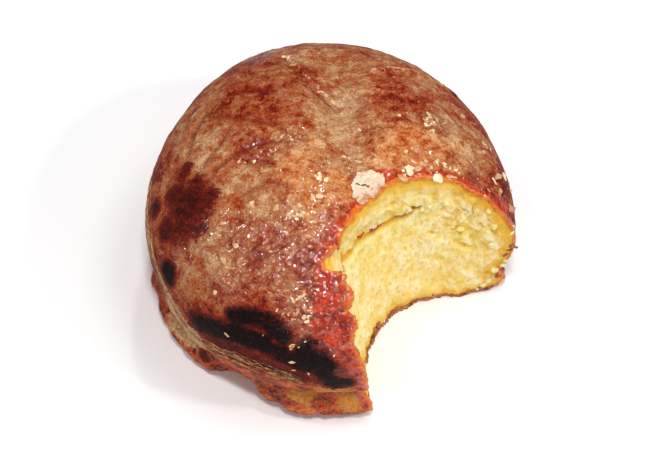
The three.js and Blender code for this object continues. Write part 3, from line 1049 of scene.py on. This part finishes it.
def makeBeads():
    models = [makeBead(number, 0.42, 0.3) for number in range(5)]
    stands = []
    for place, spread, strength in wetSpots:
        for number in range(int(spread * strength * beadLook["crowding"])):
            where = Vector(place) + stray(spread * 0.45)
            if wallTree.find_nearest(where)[3] > 1.0:
                stands.append((where, random.uniform(*beadLook["sizes"])))
    piece = placeCopies("glaze_beads", models, crustTree, stands, 0.1, 0.1)
    applyModifier(piece, "REMESH", mode="VOXEL", voxel_size=beadLook["voxel"] * mm, use_smooth_shade=True)
    return piece


glazeFlakes = makeFlakes()
wear(glazeFlakes, flakeMaterial())
glazeBeads = makeBeads()
wear(glazeBeads, mottled("beads of glaze", beadLook, 0.1))
print("glaze flakes and beads:", len(glazeFlakes.data.polygons), len(glazeBeads.data.polygons), "faces")


# ---- the large white flake by the bite

largeFlake = {
    "middle": (9.2, -8.6),
    "corners": [(6.1, -5.6), (5.2, -8.4), (5.6, -12), (7.6, -14), (10.4, -12), (13, -9), (12.4, -5.6),
                (9, -4.7)],
    "reach": 10,
    "cells": 40,  # it starts as a flat grid of so many cells, this far above the bun
    "drop": 3,
    "lift": 0.45,
    "steepest": 0.5,  # what would run down into the bite is cut off
    "lumps": 0.7,
    "thickness": 0.5,
    "crack": [(6.2, -8.3), (7.4, -8.6), (8.3, -8.5), (9, -8.9)],
    "crackWidth": 0.24,
    "crackDepth": 0.45,
    "colours": ((0.62, 0.4, 0.24), (0.84, 0.68, 0.5)),
    "stain": (0.48, 0.15, 0.055),
    "gap": (0.02, 0.008, 0.006),
}


def insideOutline(at, corners):
    # how far inside the straight sides each point is, in plan
    nearest = np.full(len(at), np.inf)
    for first, second in zip(corners, corners[1:] + corners[:1]):
        side = np.array(second, float) - first
        across = (at[:, 0] - first[0]) * -side[1] + (at[:, 1] - first[1]) * side[0]
        nearest = np.minimum(nearest, across / np.linalg.norm(side))
    return nearest


def makeLargeFlake():
    cells = largeFlake["cells"]
    where = Vector((*largeFlake["middle"], bunTop + largeFlake["drop"])) * mm
    bpy.ops.mesh.primitive_grid_add(x_subdivisions=cells, y_subdivisions=cells, size=largeFlake["reach"] * mm,
                                    location=where)
    piece = bpy.context.object
    piece.name = "large_flake"
    bpy.ops.object.transform_apply(location=True, rotation=True, scale=True)
    middles = readAll(piece.data.polygons, "center") / mm
    deleteFaces(piece, insideOutline(middles, largeFlake["corners"]) + 0.35 * roughly(middles, 1.1, 3) < 0)
    settings = {"wrap_method": "PROJECT", "use_project_z": True, "use_negative_direction": True}
    applyModifier(piece, "SHRINKWRAP", target=crust, offset=largeFlake["lift"] * mm, **settings)
    deleteFaces(piece, readAll(piece.data.polygons, "normal")[:, 2] < largeFlake["steepest"])
    at = points(piece)
    inPlan = np.array((1, 1, 0))
    crack = [(*place, 0) for place in largeFlake["crack"]]
    shaken = at * inPlan + 0.25 * roughly(at, 0.7, 4)[:, None] * inPlan
    near = bell(toLine(shaken, crack), largeFlake["crackWidth"])
    stain = ease(-at[:, 1] + 0.5 * at[:, 0] - 14 + 0.8 * roughly(at, 1.5, 6), -3, 3)
    setFields(piece, {"crack": near, "stain": stain})
    setWeights(piece, {"cracked": near})
    pushOut(piece, largeFlake["lumps"], "", cloudTexture(1.5, 2))
    pushOut(piece, -largeFlake["crackDepth"], "cracked")
    applyModifier(piece, "SOLIDIFY", thickness=largeFlake["thickness"] * mm, offset=-1.0)
    bpy.ops.object.shade_smooth()
    return piece


def largeFlakeMaterial():
    material, start, place = newMaterial("white flake")
    soft = place.lumps(1.0, 3, 0.6)
    fine = place.lumps(0.3, 2, 0.6)
    clouds = {"soft": soft, "fine": fine}
    colour = (soft * 0.6 + fine * 0.4).above(0.35, 0.6).blend(*largeFlake["colours"])
    stain = (start.field("stain") * 0.5).stirred(clouds, soft=2.0, fine=0.8).above(0.3, 0.5)
    colour = (stain * 0.85).blend(colour, largeFlake["stain"])
    colour = start.field("crack").stirred(clouds, fine=0.4).above(0.45, 0.7).blend(colour, largeFlake["gap"])
    look = {"Base Color": colour, "Roughness": 0.4, "Specular IOR Level": 0.4}
    closeMaterial(start, look, soft * 0.6 + fine * 0.4, 0.3)
    return material


whiteFlake = makeLargeFlake()
wear(whiteFlake, largeFlakeMaterial())
print("large flake:", len(whiteFlake.data.polygons), "faces")


# ---- strands of dried glaze along the waist

strandLook = {
    "count": 52,
    "sizes": (0.06, 0.2),
    "wander": 1.5,  # how far they bend aside, over this length
    "wave": 3.4,
    "scatter": 1.6,  # how far they stray up and down from the waist's line
    "step": 1.3,
    "capGap": 0.001,  # each end's cap is merged with its tube
    "lumps": 1.4,
    "edges": (0.35, 0.65),
    "colours": ((0.14, 0.04, 0.014), (0.58, 0.32, 0.12)),
    "gloss": {"Roughness": 0.4, "Specular IOR Level": 0.4},
}


def walk(line, step):
    # evenly spaced places along a line
    places = []
    for first, second in zip(line, line[1:]):
        first, second = Vector(first), Vector(second)
        count = max(1, round((second - first).length / step))
        places += [first.lerp(second, number / count) for number in range(count)]
    return places + [Vector(line[-1])]


def makeStrand(line, radius, seed):
    places = walk(line, strandLook["step"])
    bpy.ops.curve.primitive_nurbs_path_add()
    strand = bpy.context.object
    spline = strand.data.splines[0]
    spline.points.add(max(0, len(places) - len(spline.points)))
    for number, point in enumerate(spline.points):
        place = places[min(number, len(places) - 1)]
        shake = noise.noise_vector(place / strandLook["wave"] + Vector((seed, 0, 0))) * strandLook["wander"]
        where, facing = onSurface(crustTree, place + shake)
        point.co = (*((where + 0.3 * radius * facing) * mm), 1.0)
        share = number / (len(spline.points) - 1)
        point.radius = 0.25 + 0.75 * math.sin(math.pi * share) * random.uniform(0.6, 1.3)
    spline.order_u = 3
    spline.use_endpoint_u = True
    strand.data.resolution_u = 2
    strand.data.bevel_depth = radius * mm
    strand.data.bevel_resolution = 1
    strand.data.use_fill_caps = True
    pickOnly(strand)
    bpy.ops.object.convert(target="MESH")
    return strand


def strandLine():
    # a random run of the waist's line, with its ends a little higher or lower
    first = random.randint(0, len(collar) - 3)
    last = min(first + random.randint(1, 4), len(collar) - 1)
    rises = [random.gauss(0, strandLook["scatter"]) for end in range(2)]
    steps = [rises[0], *[sum(rises) / 2] * (last - first - 1), rises[1]]
    line = [Vector(place) + Vector((0, 0, rise)) for place, rise in zip(collar[first:last + 1], steps)]
    if len(line) == 2:
        line[1] = line[0].lerp(line[1], random.uniform(0.5, 1.0))
    return line


def makeStrands():
    made = []
    for number in range(strandLook["count"]):
        line = strandLine()
        made.append(makeStrand(line, random.uniform(*strandLook["sizes"]), number))
    piece = joined(made)
    piece.name = "glaze_strands"
    openMesh(piece)
    bpy.ops.mesh.remove_doubles(threshold=strandLook["capGap"] * mm)
    closeMesh()
    return piece


glazeStrands = makeStrands()
wear(glazeStrands, mottled("dried strands", strandLook, 0.15))
print("glaze strands:", len(glazeStrands.data.polygons), "faces")


# ---- bits on the crumb and along the bite's foot

crustBitPlaces = [
    ((7, -13.4, 36), 0.8), ((7.8, -12.6, 35.8), 0.7), ((9.6, -11.2, 35.4), 0.8), ((10.4, -10.6, 35), 0.9),
    ((11.2, -9.8, 34.6), 0.8), ((12, -9.5, 34.8), 0.6),
    ((11, -21, 1.4), 1.4), ((11.6, -19, 1.6), 1.5), ((12.4, -17.4, 1.4), 1.2), ((10.4, -23.5, 1), 1.1),
    ((9.9, -26.5, 0.9), 1.0), ((15.6, -13, 1), 0.8), ((16.6, -12.4, 1), 0.8), ((21, -10, 0.8), 0.7),
    ((26, -8, 0.8), 0.7), ((31, -7, 0.8), 0.8), ((37.5, -5.4, 1.6), 0.9), ((41.6, -5, 7), 0.9),
    ((42.4, -5.2, 9), 0.8), ((43.5, -7.5, 22), 1.1), ((43.6, -7.6, 24.5), 1.0), ((43.4, -7.4, 19.5), 0.8),
]
crustBitColours = {
    "up": ((0.3, 0.02, 0.008), (0.66, 0.1, 0.02)),
    "down": ((0.2, 0.035, 0.012), (0.5, 0.16, 0.035)),
    "between": (26, 30),  # heights
}
crumbBits = {
    "count": 60,
    "sizes": (0.25, 0.8),
    # the loose crumbs get none of the painted shadow under the fold, and a middling painted shade from the
    # relief
    "fields": {"depth": 6.0, "raised": 0.3, "fold": 0.0},  # plain crumb, as far inside the bite's edge
}
crumbBitPlaces = [
    ((38, -5.2, 3), 0.9), ((39.4, -5.2, 5), 1.0), ((40.6, -5, 7), 0.8), ((41.6, -5, 10.5), 0.9),
    ((42.4, -5.6, 13), 0.8), ((42.8, -6, 15.6), 0.8), ((36.6, -5.2, 1.6), 0.8), ((-4.6, -44, 4), 0.5),
    ((-2.4, -44.2, 4.4), 0.6), ((0.2, -44, 3.6), 0.45), ((8.6, -45, 4), 0.7), ((9.4, -44.4, 7), 0.6),
]


def makeCrustBits():
    models = [makeBead(10 + number, 0.35, 0.5) for number in range(4)]
    return placeCopies("crust_bits", models, crumbTree, crustBitPlaces, 0.2, 0.1)


def crustBitMaterial():
    material, start, place = newMaterial("torn crust bits")
    soft = place.lumps(0.9, 3, 0.6)
    up, down = [soft.above(0.3, 0.7).blend(*crustBitColours[name]) for name in ("up", "down")]
    colour = place.height().above(*crustBitColours["between"]).blend(down, up)
    look = {"Base Color": colour, "Roughness": 0.45, "Specular IOR Level": 0.3}
    closeMaterial(start, look, soft, 0.3)
    return material


def makeCrumbBits():
    models = [makeBead(20 + number, 0.4, 0.75) for number in range(5)]
    stands = list(crumbBitPlaces)
    while len(stands) < crumbBits["count"]:
        middle, spread, strength = random.choice(crags)
        where = Vector(middle) + stray(spread * 0.5)
        stands.append((where, random.uniform(*crumbBits["sizes"])))
    piece = placeCopies("crumb_bits", models, crumbTree, stands, 0.2, 0.1)
    setFields(piece, crumbBits["fields"])
    return piece


crustBits = makeCrustBits()
wear(crustBits, crustBitMaterial())
looseCrumbs = makeCrumbBits()
wear(looseCrumbs, crumb.data.materials[0])
print("bits:", len(crustBits.data.polygons), len(looseCrumbs.data.polygons), "faces")


# ---- the floor, the light and the camera

studio = {
    "floorSide": 3000,
    "floorColour": (0.93, 0.93, 0.93),
    "skyLight": 0.21,
    "lamps": [
        # place, size and watts; the smaller ones make the glaze glint
        ((260, 0, 760), 240, 1.2),
        ((360, -420, 330), 200, 0.28),
        ((20, -230, 690), 60, 2.0),
        ((-250, -60, 700), 60, 0.72),
        ((-430, -300, 460), 60, 0.34),
        ((40, 320, 660), 60, 0.75),
        ((460, -160, 520), 60, 1.15),
        ((-120, -600, 380), 60, 0.25),
    ],
}
cameraLook = {
    "centreHeight": 26.5,
    "elevation": 56.8,  # degrees
    "azimuth": 2.0,
    "roll": 0.4,
    "distance": 559,
    "aimAside": 0.33,
    "aimDown": 4.66,
    "lens": 125.5,
}


def makeFloor():
    bpy.ops.mesh.primitive_plane_add(size=studio["floorSide"] * mm)
    floor = bpy.context.object
    floor.name = "floor"
    material = bpy.data.materials.new("pale table")
    material.use_nodes = True
    shader = material.node_tree.nodes["Principled BSDF"]
    shader.inputs["Base Color"].default_value = (*studio["floorColour"], 1.0)
    shader.inputs["Roughness"].default_value = 0.9
    floor.data.materials.append(material)


def makeLights():
    world = bpy.data.worlds.new("soft room")
    world.use_nodes = True
    world.node_tree.nodes["Background"].inputs["Strength"].default_value = studio["skyLight"]
    world.node_tree.nodes["Background"].inputs["Color"].default_value = (1.0, 1.0, 1.0, 1.0)
    bpy.context.scene.world = world
    for place, size, watts in studio["lamps"]:
        bpy.ops.object.light_add(type="AREA", location=Vector(place) * mm)
        lamp = bpy.context.object
        lamp.data.size = size * mm
        lamp.data.energy = watts
        towards = Vector((0, 0, 25)) * mm - lamp.location
        lamp.rotation_euler = towards.to_track_quat("-Z", "Y").to_euler()


def makeCamera():
    azimuth = math.radians(cameraLook["azimuth"])
    elevation = math.radians(cameraLook["elevation"])
    back = Vector((math.sin(azimuth), -math.cos(azimuth), 0)) * math.cos(elevation)
    back.z = math.sin(elevation)
    right = Vector((math.cos(azimuth), math.sin(azimuth), 0))
    centre = Vector((0, 0, cameraLook["centreHeight"]))
    eye = centre + back * cameraLook["distance"]
    aim = centre + right * cameraLook["aimAside"] - back.cross(right) * cameraLook["aimDown"]
    bpy.ops.object.camera_add(location=eye * mm)
    camera = bpy.context.object
    turn = (aim - eye).to_track_quat("-Z", "Y")
    turn = turn @ Quaternion((0, 0, 1), math.radians(cameraLook["roll"]))
    camera.rotation_euler = turn.to_euler()
    camera.data.lens = cameraLook["lens"]
    camera.data.clip_start = 10 * mm
    camera.data.clip_end = 10
    bpy.context.scene.camera = camera


makeFloor()
makeLights()
makeCamera()
bpy.context.scene.view_settings.view_transform = "Standard"
